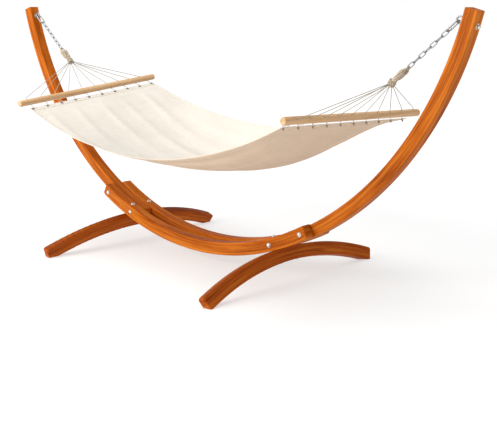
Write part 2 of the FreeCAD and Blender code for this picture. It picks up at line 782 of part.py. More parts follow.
for word, side in SIDES.items():
    blank = moved(foot(word + "_foot_blank"), foot_frame(side))
    places = [-HALF_RAIL_GAP, HALF_RAIL_GAP]
    tools = foot_holes(word + "_foot", side, places)
    seat = box(word + "_seat", "2 * Sizes.foot_width", "Sizes.arm_width + 2 * Sizes.rail_width + 1", "20")
    tools.append(moved(seat, foot_frame(side)))
    for place in places:
        recess = cylinder("%s_recess_%d" % (word, place + 100), "Sizes.nut_recess_radius", "60")
        bottom = Vector(0, place, -size("foot_depth") + size("nut_recess_depth") - 60)
        tools.append(moved(recess, foot_frame(side).multiply(Placement(bottom, Rotation()))))
    ground = box(word + "_ground", "800", "2000", "100")
    seat_x = foot_frame(side).Base.x
    tools.append(moved(ground, Placement(Vector(seat_x, 0, -100), Rotation())))
    node(cut(word + "_foot_cut", blank, tools), word + "_foot")

# Bolts, washers and nuts. A cross bolt's head and its nut each sit on a washer.
WASHER = size("washer_thickness")
CURVE_GAP = size("washer_gap")
cross_bolt = carriage_bolt("cross_bolt", "2 * (Sizes.arm_width / 2 + Sizes.rail_width)"
                           " + 2 * Sizes.washer_thickness + Sizes.nut_hex_height")
foot_bolt = carriage_bolt("foot_bolt", "Sizes.rail_depth + Sizes.foot_depth - Sizes.nut_recess_depth"
                          " + 2 * Sizes.washer_thickness + Sizes.nut_hex_height")
eye_screw = eye_bolt("eye_screw")
plain_washer = washer("plain_washer")
domed_nut = cap_nut("domed_nut")

for word, side in SIDES.items():
    frames = CROSS_FRAMES[side]
    stamped(word + "_cross_bolts", cross_bolt, [frame.multiply(lifted(CROSS_REACH + WASHER)) for frame in frames])
    stamped(word + "_cross_washers", plain_washer,
            [frame.multiply(lifted(height)) for frame in frames for height in (CROSS_REACH, -CROSS_REACH - WASHER)])
    stamped(word + "_cross_nuts", domed_nut,
            [frame.multiply(turned_over(-CROSS_REACH - WASHER)) for frame in frames])

    frames = [foot_frame(side).multiply(Placement(Vector(0, place, 0), Rotation()))
              for place in (-HALF_RAIL_GAP, HALF_RAIL_GAP)]
    top = size("rail_depth") + CURVE_GAP
    bottom = size("nut_recess_depth") - size("foot_depth")
    stamped(word + "_foot_bolts", foot_bolt, [frame.multiply(lifted(top + WASHER)) for frame in frames])
    stamped(word + "_foot_washers", plain_washer,
            [frame.multiply(lifted(height)) for frame in frames for height in (top, bottom - WASHER)])
    stamped(word + "_foot_nuts", domed_nut, [frame.multiply(turned_over(bottom - WASHER)) for frame in frames])

    eye = eye_frame(side)
    face = size("eye_standoff") - CURVE_GAP
    back = size("eye_standoff") + size("arm_depth") + CURVE_GAP
    stamped(word + "_eye_bolt", eye_screw, [eye])
    stamped(word + "_eye_washers", plain_washer, [eye.multiply(lifted(face - WASHER)), eye.multiply(lifted(back))])
    stamped(word + "_eye_nut", domed_nut, [eye.multiply(lifted(back + WASHER))])

# ---------------------------------------------------------------- the suspensions

hook_master = snap_hook("hook_master")
gate_master = hook_gate("gate_master")
pin_master = gate_pin_solid("pin_master", "Sizes.gate_pin_radius")
link_master = chain_link("link_master")

for word, side in SIDES.items():
    hook = line_frame(side, HOOK_START)
    stamped(word + "_snap_hook", hook_master, [hook])
    stamped(word + "_hook_gate", gate_master, [hook])
    stamped(word + "_gate_pin", pin_master, [hook])
    stamped(word + "_chain", link_master,
            [line_frame(side, FIRST_LINK + index * LINK_STEP, turned=index % 2 == 0) for index in range(LINK_COUNT)])

# ---------------------------------------------------------------- the hammock

eyelet_master = eyelet("eyelet_master")

for word, side in SIDES.items():
    soft_node(word + "_rope_eye", [rope_eye(side)])
    soft_node(word + "_whipping", [whipping(side)])
    soft_node(word + "_clew_cords", [clew_cord(side, index, place) for index, place in enumerate(hole_places())])

    rod = cylinder(word + "_bar_rod", "Sizes.bar_radius", "Sizes.bar_length")
    document.recompute()
    eased = document.addObject("Part::Fillet", word + "_bar_eased")
    eased.Base = rod
    eased.Edges = [(index, size("bar_end_radius"), size("bar_end_radius")) for index, edge in
                   enumerate(rod.Shape.Edges, start=1) if edge.Closed]
    centred = Placement(Vector(0, -size("bar_length") / 2, 0), Rotation(X_AXIS, -90))
    document.recompute()
    eased.Placement = bar_frame(side).multiply(centred)
    drills = []
    for index, place in enumerate(hole_places()):
        drill = cylinder("%s_bar_drill_%d" % (word, index), "Sizes.bar_hole_radius", "60")
        drills.append(moved(drill, bar_frame(side).multiply(Placement(Vector(0, place, -30), Rotation()))))
    node(cut(word + "_bar_cut", eased, drills), word + "_spreader_bar")

    hem = hem_frame(side)
    stamped(word + "_eyelets", eyelet_master,
            [hem.multiply(Placement(Vector(0, place, 0), Rotation())) for place in hole_places()])

canvas("canvas_bed")

# ---------------------------------------------------------------- check and write

document.recompute()
for item in document.Objects:
    if "Invalid" in item.State or "Error" in item.State:
        raise RuntimeError("%s failed: %s" % (item.Label, item.State))
for item in nodes:
    if item.Shape.isNull() or not item.Shape.isValid():
        raise RuntimeError("%s has no valid shape" % item.Label)

os.makedirs("parts", exist_ok=True)
for item in nodes:
    item.Shape.exportStep("parts/%s.step" % item.Label)
print("%d sub-parts written" % len(nodes))
print("suspension: first link %.1f, rope eye %.1f, neck %.1f, fan %.1f" % (FIRST_LINK, ROPE_START, NECK, FAN))
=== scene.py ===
import json
import math
import random

import bpy
import numpy as np
from mathutils import Matrix, Vector


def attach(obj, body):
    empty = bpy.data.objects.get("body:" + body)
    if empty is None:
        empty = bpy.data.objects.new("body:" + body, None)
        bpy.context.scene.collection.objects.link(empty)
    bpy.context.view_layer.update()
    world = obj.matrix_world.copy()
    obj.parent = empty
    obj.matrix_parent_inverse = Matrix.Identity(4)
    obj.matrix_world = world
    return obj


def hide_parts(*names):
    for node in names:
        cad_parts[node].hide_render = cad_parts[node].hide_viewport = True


# The looks of a hammock on a laminated wooden stand. Metres, in the CAD frame:
# X along the stand, +Y towards the far rail, Z up from the ground.

SIDES = {"left": -1, "right": 1}

# The canvas bed's middle surface, as the CAD solid has it. Its trough tapers off quickly towards the
# left bar and stays full almost to the right one.
BED_HALF_LENGTH = 0.950
BED_HALF_WIDTH = 0.434
BED_NARROWING = 0.018
BED_HEM_HEIGHT = 0.7955
BED_EDGE_SAG = 0.173
BED_TROUGH = 0.118
BED_LEAN = 0.3
BED_TAPERS = (2, 6)
BED_ROLLS = (6.0, 6.0, -2.6)
BED_SLOPE = math.atan(2 * BED_EDGE_SAG / BED_HALF_LENGTH)
CLOTH_THICKNESS = 0.0013
HEM_THICKNESS = 0.0032
END_HEM_DEPTH = 0.036
SIDE_HEM_WIDTH = 0.014
EYELET_INSET = 0.015
EYELET_HOLE = 0.0058
CORD_RADIUS = 0.0018

# The curved timbers: centres of their arcs, radii of their outer faces and depths towards the centre.
RAIL_CENTRE = (0.0, 0.0, 1.686)
RAIL_RADIUS = 1.632
RAIL_DEPTH = 0.064
ARM_CENTRE_HEIGHT = 1.725
ARM_CENTRE_OFFSET = -0.017
ARM_RADIUS = 1.675
ARM_DEPTH = 0.060
FOOT_SEAT = (0.5649, 0.0, 0.1549)
FOOT_ANGLE = math.radians(20.25)
FOOT_RADIUS = 1.5
FOOT_DEPTH = 0.067
LAYERS = 4
GLUE_CLEAR = 0.002

# Dark, middle and light tones of the varnish.
ORANGE = ((0.225, 0.038, 0.003), (0.485, 0.112, 0.007), (0.700, 0.215, 0.024))
REDDISH = ((0.200, 0.030, 0.002), (0.440, 0.086, 0.006), (0.600, 0.160, 0.016))

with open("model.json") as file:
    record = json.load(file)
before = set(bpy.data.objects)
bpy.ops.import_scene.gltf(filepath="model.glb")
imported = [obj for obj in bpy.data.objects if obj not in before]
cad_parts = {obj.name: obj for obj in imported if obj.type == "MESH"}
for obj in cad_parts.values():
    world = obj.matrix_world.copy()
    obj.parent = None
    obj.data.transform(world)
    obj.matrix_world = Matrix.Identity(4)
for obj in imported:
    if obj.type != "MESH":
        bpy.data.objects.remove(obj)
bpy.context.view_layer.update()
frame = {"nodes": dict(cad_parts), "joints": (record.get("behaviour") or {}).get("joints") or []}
joints = {joint["name"]: joint for joint in frame["joints"]}


# ---------------------------------------------------------------- material nodes

class Graph:
    """A material under construction: adds nodes and links them to its shader."""

    def __init__(self, name):
        self.material = bpy.data.materials.new(name)
        self.material.use_nodes = True
        self.tree = self.material.node_tree
        self.shader = self.tree.nodes["Principled BSDF"]

    def node(self, kind, inputs=(), **settings):
        made = self.tree.nodes.new(kind)
        for name, value in settings.items():
            setattr(made, name, value)
        for socket, value in dict(inputs).items():
            self.feed(made.inputs[socket], value)
        return made

    def feed(self, socket, value):
        if isinstance(value, bpy.types.NodeSocket):
            self.tree.links.new(value, socket)
        else:
            socket.default_value = value

    def position(self):
        return self.node("ShaderNodeTexCoord").outputs["Object"]

    def math(self, operation, first, second=0.0):
        return self.node("ShaderNodeMath", {0: first, 1: second}, operation=operation).outputs[0]

    def vector_math(self, operation, first, second=(0, 0, 0)):
        return self.node("ShaderNodeVectorMath", {0: first, 1: second}, operation=operation).outputs

    def dot(self, vector, axis):
        return self.vector_math("DOT_PRODUCT", vector, axis)["Value"]

    def subtract(self, vector, point):
        return self.vector_math("SUBTRACT", vector, point)["Vector"]

    def combine(self, x, y, z):
        return self.node("ShaderNodeCombineXYZ", {0: x, 1: y, 2: z}).outputs[0]

    def stretched(self, vector, scale):
        return self.node("ShaderNodeMapping", {"Vector": vector, "Scale": scale}).outputs[0]

    def noise(self, vector, scale, detail=3.0, roughness=0.5, distortion=0.0):
        inputs = {"Vector": vector, "Scale": scale, "Detail": detail, "Roughness": roughness,
                  "Distortion": distortion}
        return self.node("ShaderNodeTexNoise", inputs).outputs["Fac"]

    def ramp(self, factor, stops):
        made = self.node("ShaderNodeValToRGB", {0: factor})
        elements = made.color_ramp.elements
        while len(elements) < len(stops):
            elements.new(0.5)
        for element, (place, colour) in zip(elements, stops):
            element.position = place
            element.color = (*colour, 1.0)
        return made.outputs[0]

    def mix(self, factor, first, second, blend="MIX"):
        made = self.node("ShaderNodeMix", data_type="RGBA", blend_type=blend)
        self.feed(made.inputs[0], factor)
        self.feed(made.inputs[6], first)
        self.feed(made.inputs[7], second)
        return made.outputs[2]

    def spread(self, factor, low, high):
        """A 0 to 1 value spread over low to high."""
        made = self.node("ShaderNodeMapRange", {0: factor, 1: 0.0, 2: 1.0, 3: low, 4: high})
        return made.outputs[0]

    def bump(self, height, strength, distance):
        inputs = {"Height": height, "Strength": strength, "Distance": distance}
        self.feed(self.shader.inputs["Normal"], self.node("ShaderNodeBump", inputs).outputs[0])

    def finish(self, colour, roughness, inputs=()):
        self.feed(self.shader.inputs["Base Color"], colour)
        self.feed(self.shader.inputs["Roughness"], roughness)
        for name, value in dict(inputs).items():
            self.shader.inputs[name].default_value = value
        return self.material


def laminated_timber(name, centre, away, along, radius, thickness, dark, middle, light):
    """Varnished timber bent round a centre: grain and glue lines follow the arc.

    The layers reach a little past the outer and inner faces, so that those faces show plain wood.
    """
    layer = (thickness + 2 * GLUE_CLEAR) / LAYERS
    graph = Graph(name)
    offset = graph.subtract(graph.position(), centre)
    outward = graph.dot(offset, away)
    sideways = graph.dot(offset, along)
    width = graph.dot(offset, Vector(away).cross(Vector(along)))
    squared = graph.math("ADD", graph.math("MULTIPLY", outward, outward),
                         graph.math("MULTIPLY", sideways, sideways))
    depth = graph.math("SUBTRACT", graph.math("SQRT", squared), radius + GLUE_CLEAR)
    run = graph.math("MULTIPLY", graph.math("ARCTAN2", sideways, outward), radius)

    layers = graph.math("DIVIDE", depth, layer)
    index = graph.math("FLOOR", layers)
    shift = graph.math("MULTIPLY", index, 3.7)
    place = graph.combine(graph.math("ADD", run, shift), width, depth)
    flame = graph.noise(graph.stretched(place, (1.6, 16, 16)), 1.0, 4.0, 0.55, 0.9)
    streaks = graph.noise(graph.stretched(place, (3.0, 90, 90)), 1.0, 5.0, 0.6, 0.3)
    pores = graph.noise(graph.stretched(place, (14, 700, 700)), 1.0, 2.0, 0.5)

    blended = graph.math("ADD", graph.math("MULTIPLY", flame, 0.6), graph.math("MULTIPLY", streaks, 0.4))
    colour = graph.ramp(blended, [(0.36, dark), (0.50, middle), (0.64, light)])
    tone = graph.node("ShaderNodeTexWhiteNoise", {"W": index}, noise_dimensions="1D").outputs["Value"]
    shade = graph.spread(tone, 0.84, 1.10)
    colour = graph.mix(1.0, colour, graph.combine(shade, shade, shade), "MULTIPLY")
    within = graph.math("ABSOLUTE", graph.math("SUBTRACT", graph.math("FRACT", layers), 0.5))
    glue = graph.ramp(within, [(0.462, (0, 0, 0)), (0.492, (1, 1, 1))])
    colour = graph.mix(graph.math("MULTIPLY", glue, 0.7), colour, (*[0.45 * part for part in dark], 1.0))
    fine = graph.ramp(pores, [(0.30, (0.72, 0.66, 0.62)), (0.48, (1, 1, 1))])
    colour = graph.mix(0.55, colour, graph.mix(1.0, colour, fine, "MULTIPLY"))

    height = graph.math("SUBTRACT", graph.math("MULTIPLY", streaks, 0.5), graph.math("MULTIPLY", glue, 0.8))
    graph.bump(height, 0.22, 0.0006)
    return graph.finish(colour, graph.spread(streaks, 0.36, 0.52), {"Specular IOR Level": 0.045})


def pale_dowel(name, centre, along):
    """Smooth turned hardwood with fine straight grain."""
    graph = Graph(name)
    offset = graph.subtract(graph.position(), centre)
    run = graph.dot(offset, along)
    across = Vector(along).cross(Vector((0, 0, 1))).normalized()
    up = across.cross(Vector(along))
    place = graph.combine(run, graph.dot(offset, across), graph.dot(offset, up))
    rings = graph.noise(graph.stretched(place, (2.0, 70, 40)), 1.0, 3.0, 0.5, 0.6)
    pores = graph.noise(graph.stretched(place, (22, 900, 900)), 1.0, 2.0)
    colour = graph.ramp(rings, [(0.30, (0.46, 0.26, 0.11)), (0.50, (0.60, 0.365, 0.175)),
                                (0.72, (0.69, 0.455, 0.25))])
    flecks = graph.ramp(pores, [(0.30, (0.74, 0.66, 0.58)), (0.46, (1, 1, 1))])
    colour = graph.mix(0.5, colour, graph.mix(1.0, colour, flecks, "MULTIPLY"))
    graph.bump(graph.math("ADD", rings, pores), 0.15, 0.0003)
    return graph.finish(colour, graph.spread(rings, 0.42, 0.56), {"Coat Weight": 0.08, "Coat Roughness": 0.3})


def canvas_cloth(name, shade, light):
    """Unbleached cotton canvas: crossed threads, slubs and a soft mottling."""
    graph = Graph(name)
    place = graph.position()
    threads = []
    for direction in ("X", "Y"):
        inputs = {"Vector": place, "Scale": 210.0, "Distortion": 0.6, "Detail": 1.0}
        threads.append(graph.node("ShaderNodeTexWave", inputs, bands_direction=direction).outputs["Fac"])
    weave = graph.math("MULTIPLY", threads[0], threads[1])
    warp = graph.noise(graph.stretched(place, (9, 420, 60)), 1.0, 2.0)
    weft = graph.noise(graph.stretched(place, (420, 9, 60)), 1.0, 2.0)
    slubs = graph.math("MULTIPLY", graph.math("ADD", warp, weft), 0.5)
    mottle = graph.noise(place, 5.0, 3.0)
    colour = graph.ramp(mottle, [(0.30, shade), (0.70, light)])
    threads_tone = graph.ramp(slubs, [(0.36, (0.86, 0.83, 0.79)), (0.52, (1, 1, 1))])
    colour = graph.mix(0.7, colour, graph.mix(1.0, colour, threads_tone, "MULTIPLY"))
    # The gaps between the crossed threads are darkened: painted shade.
    gap_shade = graph.ramp(weave, [(0.0, (0.90, 0.88, 0.85)), (0.35, (1, 1, 1))])
    colour = graph.mix(1.0, colour, gap_shade, "MULTIPLY")
    graph.bump(graph.math("ADD", weave, slubs), 0.30, 0.0005)
    sheen = {"Sheen Weight": 0.03, "Sheen Roughness": 0.5}
    return graph.finish(colour, graph.spread(slubs, 0.86, 0.97), sheen)


def cotton_cord(name, pale, dull):
    """Fibrous cotton yarn, dulled where the fibres lie in shade."""
    graph = Graph(name)
    place = graph.position()
    fibres = graph.noise(graph.stretched(place, (380, 700, 380)), 1.0, 4.0, 0.6, 0.8)
    stains = graph.noise(place, 26.0, 2.0)
    colour = graph.ramp(fibres, [(0.28, dull), (0.62, pale)])
    worn = graph.ramp(stains, [(0.32, (0.82, 0.80, 0.76)), (0.62, (1, 1, 1))])
    colour = graph.mix(1.0, colour, worn, "MULTIPLY")
    graph.bump(fibres, 0.35, 0.0003)
    sheen = {"Sheen Weight": 0.15, "Sheen Roughness": 0.5}
    return graph.finish(colour, graph.spread(fibres, 0.80, 0.95), sheen)


def plated_steel(name, shade, low, high, spangle):
    """Zinc-plated wire or hardware, with faint crystal patches and handling marks."""
    graph = Graph(name)
    place = graph.position()
    cells = graph.node("ShaderNodeTexVoronoi", {"Vector": place, "Scale": spangle}).outputs["Color"]
    patches = graph.node("ShaderNodeSeparateColor", {0: cells}).outputs[0]
    marks = graph.noise(place, 900.0, 3.0, 0.6)
    clouds = graph.noise(place, 60.0, 3.0)
    mixed = graph.math("ADD", graph.math("MULTIPLY", patches, 0.5), graph.math("MULTIPLY", clouds, 0.5))
    colour = graph.ramp(mixed, [(0.2, tuple(0.84 * part for part in shade)), (0.8, shade)])
    rough = graph.math("ADD", graph.spread(mixed, low, high), graph.math("MULTIPLY", marks, 0.06))
    graph.bump(marks, 0.10, 0.0001)
    return graph.finish(colour, rough, {"Metallic": 1.0})


# ---------------------------------------------------------------- reading the frame

def vertices(node):
    """A CAD node's vertices as rows of x, y, z."""
    mesh = frame["nodes"][node].data
    found = np.zeros(len(mesh.vertices) * 3, np.float32)
    mesh.vertices.foreach_get("co", found)
    return found.reshape(-1, 3).astype(float)


def dress(node, material):
    """Give a CAD node its material."""
    slots = frame["nodes"][node].data.materials
    slots.clear()
    slots.append(material)


def groups_along_y(node, gap):
    """A node's vertices split into its separate solids, wherever a gap opens along Y."""
    points = vertices(node)
    points = points[np.argsort(points[:, 1])]
    breaks = np.where(np.diff(points[:, 1]) > gap)[0] + 1
    return np.split(points, breaks)


def suspension_line(side):
    """Where the rope eye hangs, and the unit vector down the taut suspension."""
    swing = Vector(joints["hammock_swing"]["pos_m"])
    roll = Vector(joints["bed_roll"]["pos_m"])
    down = (roll - swing).normalized()
    flip = Vector((-side, 1, 1))
    return Vector(a * b for a, b in zip(roll, flip)), Vector(a * b for a, b in zip(down, flip))


def reach_along(node, origin, direction):
    """The least and greatest distance of a node along a direction from a point."""
    distances = (vertices(node) - np.array(origin)) @ np.array(direction)
    return float(distances.min()), float(distances.max())


def bar_line(word):
    """Middle of a spreader bar and the unit vector along it, towards +Y."""
    points = vertices(word + "_spreader_bar")
    centre = (points.min(0) + points.max(0)) / 2
    ends = points[np.argmax(points[:, 1])], points[np.argmin(points[:, 1])]
    tilt = math.atan2(ends[0][2] - ends[1][2], ends[0][1] - ends[1][1])
    return Vector(centre), Vector((0, math.cos(tilt), math.sin(tilt)))


# ---------------------------------------------------------------- meshes

def add_mesh(name, points, faces, material, smooth=True):
    mesh = bpy.data.meshes.new(name)
    mesh.from_pydata([tuple(point) for point in points], [], faces)
    mesh.materials.append(material)
    mesh.polygons.foreach_set("use_smooth", [smooth] * len(mesh.polygons))
    mesh.update()
    made = bpy.data.objects.new(name, mesh)
    bpy.context.scene.collection.objects.link(made)
    return made


def smooth_line(points, steps=12):
    """Points along the NURBS curve that has these control points."""
    curve = bpy.data.curves.new("line", "CURVE")
    curve.dimensions = "3D"
    spline = curve.splines.new("NURBS")
    spline.points.add(len(points) - 1)
    for target, point in zip(spline.points, points):
        target.co = (*point, 1.0)
    spline.order_u = 3
    spline.use_endpoint_u = True
    spline.resolution_u = steps
    holder = bpy.data.objects.new("line", curve)
    mesh = bpy.data.meshes.new_from_object(holder)
    found = np.array([vertex.co for vertex in mesh.vertices])
    bpy.data.objects.remove(holder)
    bpy.data.meshes.remove(mesh)
    bpy.data.curves.remove(curve)
    return found


def evenly(line, spacing):
    """The same line with points a fixed distance apart."""
    lengths = np.r_[0, np.cumsum(np.linalg.norm(np.diff(line, axis=0), axis=1))]
    count = max(3, int(lengths[-1] / spacing) + 1)
    places = np.linspace(0, lengths[-1], count)
    return np.stack([np.interp(places, lengths, line[:, axis]) for axis in range(3)], axis=1)


def frames_along(line):
    """Two unit vectors across the line at each point, carried along it without twisting."""
    tangents = np.gradient(line, axis=0)
    tangents /= np.linalg.norm(tangents, axis=1)[:, None]
    start = np.cross(tangents[0], [0.31, 0.17, 0.93])
    first = [start / np.linalg.norm(start)]
    for tangent in tangents[1:]:
        carried = first[-1] - tangent * (first[-1] @ tangent)
        first.append(carried / np.linalg.norm(carried))
    first = np.array(first)
    return first, np.cross(tangents, first)


def swept(sections):
    """Points and faces of a closed tube through rings of points, capped at both ends."""
    rings, around = len(sections), len(sections[0])
    points = np.concatenate(sections)
    faces = []
    for ring in range(rings - 1):
        for place in range(around):
            ahead = (place + 1) % around
            base = ring * around
            faces.append((base + place, base + ahead, base + around + ahead, base + around + place))
    faces.append(tuple(range(around - 1, -1, -1)))
    faces.append(tuple(range((rings - 1) * around, rings * around)))
    return points, faces


def laid_strand(line, radius, pitch=0.011, spacing=0.0016, around=10):
    """A three-yarn twisted strand along a line. The radius may vary along it."""
    line = evenly(line, spacing)
    first, second = frames_along(line)
    radii = np.interp(np.linspace(0, 1, len(line)), np.linspace(0, 1, len(np.atleast_1d(radius))),
                      np.atleast_1d(radius))
    turns = np.arange(len(line)) * spacing / pitch * 2 * math.pi
    sections = []
    for point, one, two, size, turn in zip(line, first, second, radii, turns):
        angles = np.linspace(0, 2 * math.pi, around, endpoint=False)
        reach = size * (0.88 + 0.12 * np.cos(3 * (angles - turn / 3)))
        sections.append(point + np.outer(reach * np.cos(angles), one) + np.outer(reach * np.sin(angles), two))
    return swept(sections)


def joined(name, parts, material, smooth=True):
    """One mesh object from several sets of points and faces."""
    points, faces, start = [], [], 0
    for some_points, some_faces in parts:
        points.append(np.asarray(some_points))
        faces += [tuple(index + start for index in face) for face in some_faces]
        start += len(some_points)
    return add_mesh(name, np.concatenate(points), faces, material, smooth)


def lathe(profile, origin, axis, around=40, closed=False):
    """Points and faces of a surface turned about an axis from (radius, height) pairs."""
    origin, axis = np.array(origin), np.array(axis)
    one = np.cross(axis, [0.2, 0.9, 0.1])
    one /= np.linalg.norm(one)
    two = np.cross(axis, one)
    angles = np.linspace(0, 2 * math.pi, around, endpoint=False)
    circle = np.outer(np.cos(angles), one) + np.outer(np.sin(angles), two)
    points = np.concatenate([origin + axis * height + circle * radius for radius, height in profile])
    count, faces = len(profile), []
    for ring in range(count if closed else count - 1):
        below, above = ring * around, (ring + 1) % count * around
        for place in range(around):
            ahead = (place + 1) % around
            faces.append((below + place, below + ahead, above + ahead, above + place))
    if not closed:
        faces.append(tuple(range(around - 1, -1, -1)))
        faces.append(tuple(range((count - 1) * around, count * around)))
    return points, faces


# ---------------------------------------------------------------- canvas bed

class Bed:
    """The canvas as a surface: u runs from the left hem to the right, v from near to far."""

    # Where the folds that slant away from each bar start, across the hem.
    end_folds = ((-1, (-0.80, -0.42, 0.02, 0.30, 0.66)), (1, (-0.55, -0.05, 0.48)))
    # The folds that run lengthways: place across, middle along, length, height in metres and width.
    long_folds = ((-0.86, 0.35, 0.55, 0.0100, 0.055), (-0.62, 0.10, 0.45, 0.0070, 0.070),
                  (-0.30, 0.30, 0.40, 0.0045, 0.080), (0.10, -0.10, 0.45, 0.0050, 0.070),
                  (0.74, -0.15, 0.50, 0.0035, 0.075))

    def __init__(self, rows=221, columns=101):
        self.u = np.linspace(-1, 1, rows)
        self.v = np.linspace(-1, 1, columns)
        self.points = self.hang()
        self.points += self.normals() * self.folds()[..., None]

    def hang(self):
        u, v = np.meshgrid(self.u, self.v, indexing="ij")
        taper = np.where(u > 0, BED_TAPERS[1], BED_TAPERS[0])
        fullness = (1 + BED_LEAN * u) * (1 - np.abs(u) ** taper) ** 2
        trough = BED_TROUGH * fullness
        across = (BED_HALF_WIDTH - BED_NARROWING * fullness) * v
        lift = trough * (v ** 2 - 1 / 3)
        left, middle, right = BED_ROLLS
        roll = np.radians(middle + (right - left) / 2 * u + ((left + right) / 2 - middle) * u ** 2)
        height = BED_HEM_HEIGHT - BED_EDGE_SAG * (1 - u ** 2) - 2 / 3 * trough
        return np.stack([
            u * BED_HALF_LENGTH,
            across * np.cos(roll) - lift * np.sin(roll),
            height + across * np.sin(roll) + lift * np.cos(roll),
        ], axis=-1)

    def normals(self):
        along = np.gradient(self.points, axis=0)
        across = np.gradient(self.points, axis=1)
        normal = np.cross(along, across)
        return normal / np.linalg.norm(normal, axis=-1)[..., None]

    def folds(self):
        """Height of the slack folds: some slant down the bed from its ends, others run along it."""
        u, v = np.meshgrid(self.u, self.v, indexing="ij")
        height = np.zeros_like(u)
        chance = random.Random(11)
        for side, starts in self.end_folds:
            inboard = 1 - side * u
            for index, start in enumerate(starts):
                peak = chance.uniform(0.0028, 0.0062) * (1.0 if side < 0 else 0.6)
                drift = (-0.42 if side < 0 else -0.10) + chance.uniform(-0.10, 0.10)
                length = chance.uniform(0.70, 1.35)
                width = chance.uniform(0.050, 0.075)
                place = start + drift * np.tanh(inboard) + 0.03 * np.sin(3.3 * inboard + 2 * index)
                grown = width * (0.7 + 0.9 * inboard)
                rise = 1 - np.exp(-(inboard / 0.16) ** 2)
                fade = np.exp(-(inboard / length) ** 2)
                height += peak * np.exp(-((v - place) / grown) ** 2) * rise * fade
        for start, middle, length, peak, width in self.long_folds:
            place = start + 0.10 * (u - middle) ** 2 - 0.06 * (u - middle)
            ends = (1 - u ** 2) * np.exp(-((u - middle) / length) ** 2)
            height += peak * ends * np.exp(-((v - place) / width) ** 2)
        return height - height.mean()

    def at(self, u, v, lift=0.0):
        """Points on the cloth, raised from it along its normal."""
        rows = np.clip((np.asarray(u) + 1) / 2 * (len(self.u) - 1), 0, len(self.u) - 1.001)
        columns = np.clip((np.asarray(v) + 1) / 2 * (len(self.v) - 1), 0, len(self.v) - 1.001)
        row, column = rows.astype(int), columns.astype(int)
        down, over = (rows - row)[..., None], (columns - column)[..., None]

        def blended(grid):
            low = grid[row, column] * (1 - over) + grid[row, column + 1] * over
            high = grid[row + 1, column] * (1 - over) + grid[row + 1, column + 1] * over
            return low * (1 - down) + high * down

        return blended(self.points) + blended(self.normals()) * np.asarray(lift)[..., None]


def bed_sheet(bed, material, shaded_underside):
    """The single layer of canvas between the end hems."""
    keep = [row for row, u in enumerate(bed.u) if abs(u) < 0.975]
    rows, columns = len(keep), len(bed.v)
    points = bed.points[keep].reshape(-1, 3)
    faces = [(row * columns + column, (row + 1) * columns + column,
              (row + 1) * columns + column + 1, row * columns + column + 1)
             for row in range(rows - 1) for column in range(columns - 1)]
    sheet = add_mesh("canvas_sheet", points, faces, material)
    # The second slot holds the painted-shade copy of the canvas, which the solidify puts on the cloth's
    # underside.
    sheet.data.materials.append(shaded_underside)
    solid = sheet.modifiers.new("thickness", "SOLIDIFY")
    solid.thickness = CLOTH_THICKNESS
    solid.offset = 0
    solid.material_offset = 1
    return sheet


def end_hem(bed, word, side, places, material, shaded_underside):
    """Doubled band of canvas along one end, with a hole for each eyelet."""
    rings, around = 6, 32
    half = BED_HALF_WIDTH
    pitch = places[1] - places[0]
    points, faces = [], []
    for place in places:
        low = -half if place == places[0] else place - pitch / 2
        high = half if place == places[-1] else place + pitch / 2
        start = len(points)
        for step in range(around):
            angle = 2 * math.pi * (step + 0.5) / around
            x, y = math.cos(angle), math.sin(angle)
            reach_x = (END_HEM_DEPTH - EYELET_INSET if x > 0 else EYELET_INSET) / max(abs(x), 1e-9)
            reach_y = (high - place if y > 0 else place - low) / max(abs(y), 1e-9)
            reach = min(reach_x, reach_y)
            for ring in range(rings):
                away = EYELET_HOLE + (reach - EYELET_HOLE) * (ring / (rings - 1)) ** 1.4
                points.append((EYELET_INSET + away * x, place + away * y))
        for step in range(around):
            ahead = (step + 1) % around
            for ring in range(rings - 1):
                here, there = start + step * rings + ring, start + ahead * rings + ring
                faces.append((here, here + 1, there + 1, there)[::-side])
    flat = np.array(points)
    u = side * (1 - flat[:, 0] * math.cos(BED_SLOPE) / BED_HALF_LENGTH)
    placed = bed.at(u, flat[:, 1] / half)
    hem = add_mesh(word + "_end_hem", placed, faces, material)
    # The second slot holds the painted-shade copy of the canvas, for the hem's underside.
    hem.data.materials.append(shaded_underside)
    weld = hem.modifiers.new("weld", "WELD")
    weld.merge_threshold = 0.0002
    solid = hem.modifiers.new("thickness", "SOLIDIFY")
    solid.thickness = HEM_THICKNESS
    solid.offset = 0
    solid.material_offset = 1
    round_off = hem.modifiers.new("round", "SUBSURF")
    round_off.levels = round_off.render_levels = 1
    return hem


def side_hem(bed, name, edge, material, shaded_underside):
    """Narrow rolled hem along one long side."""
    width, half_thick = SIDE_HEM_WIDTH, HEM_THICKNESS / 2
    outline = [(width, 0.4), (width - 0.001, 1.0), (width * 0.5, 1.06), (0.002, 1.15), (-0.0005, 0.7),
               (-0.0012, 0.0), (-0.0005, -0.7), (0.002, -1.15), (width * 0.5, -1.06),
               (width - 0.001, -1.0), (width, -0.4)]
    sections = []
    for u in np.linspace(-0.992, 0.992, 260):
        inset = np.array([across for across, _ in outline])
        lift = np.array([height * half_thick for _, height in outline])
        v = edge * (1 - np.clip(inset, 0, None) / BED_HALF_WIDTH)
        ring = bed.at(np.full(len(v), u), v, lift)
        beyond = bed.at([u], [edge])[0] - bed.at([u], [edge * 0.98])[0]
        beyond /= np.linalg.norm(beyond)
        sections.append(ring - np.outer(np.clip(inset, None, 0), beyond))
    points, faces = swept(sections)
    hem = add_mesh(name, points, faces, material)
    # Faces on the lower half of the hem's outline take the painted-shade copy of the canvas.
    hem.data.materials.append(shaded_underside)
    for index, face in enumerate(hem.data.polygons[:-2]):
        face.material_index = int(index % len(outline) >= outline.index((-0.0012, 0.0)))
    return hem


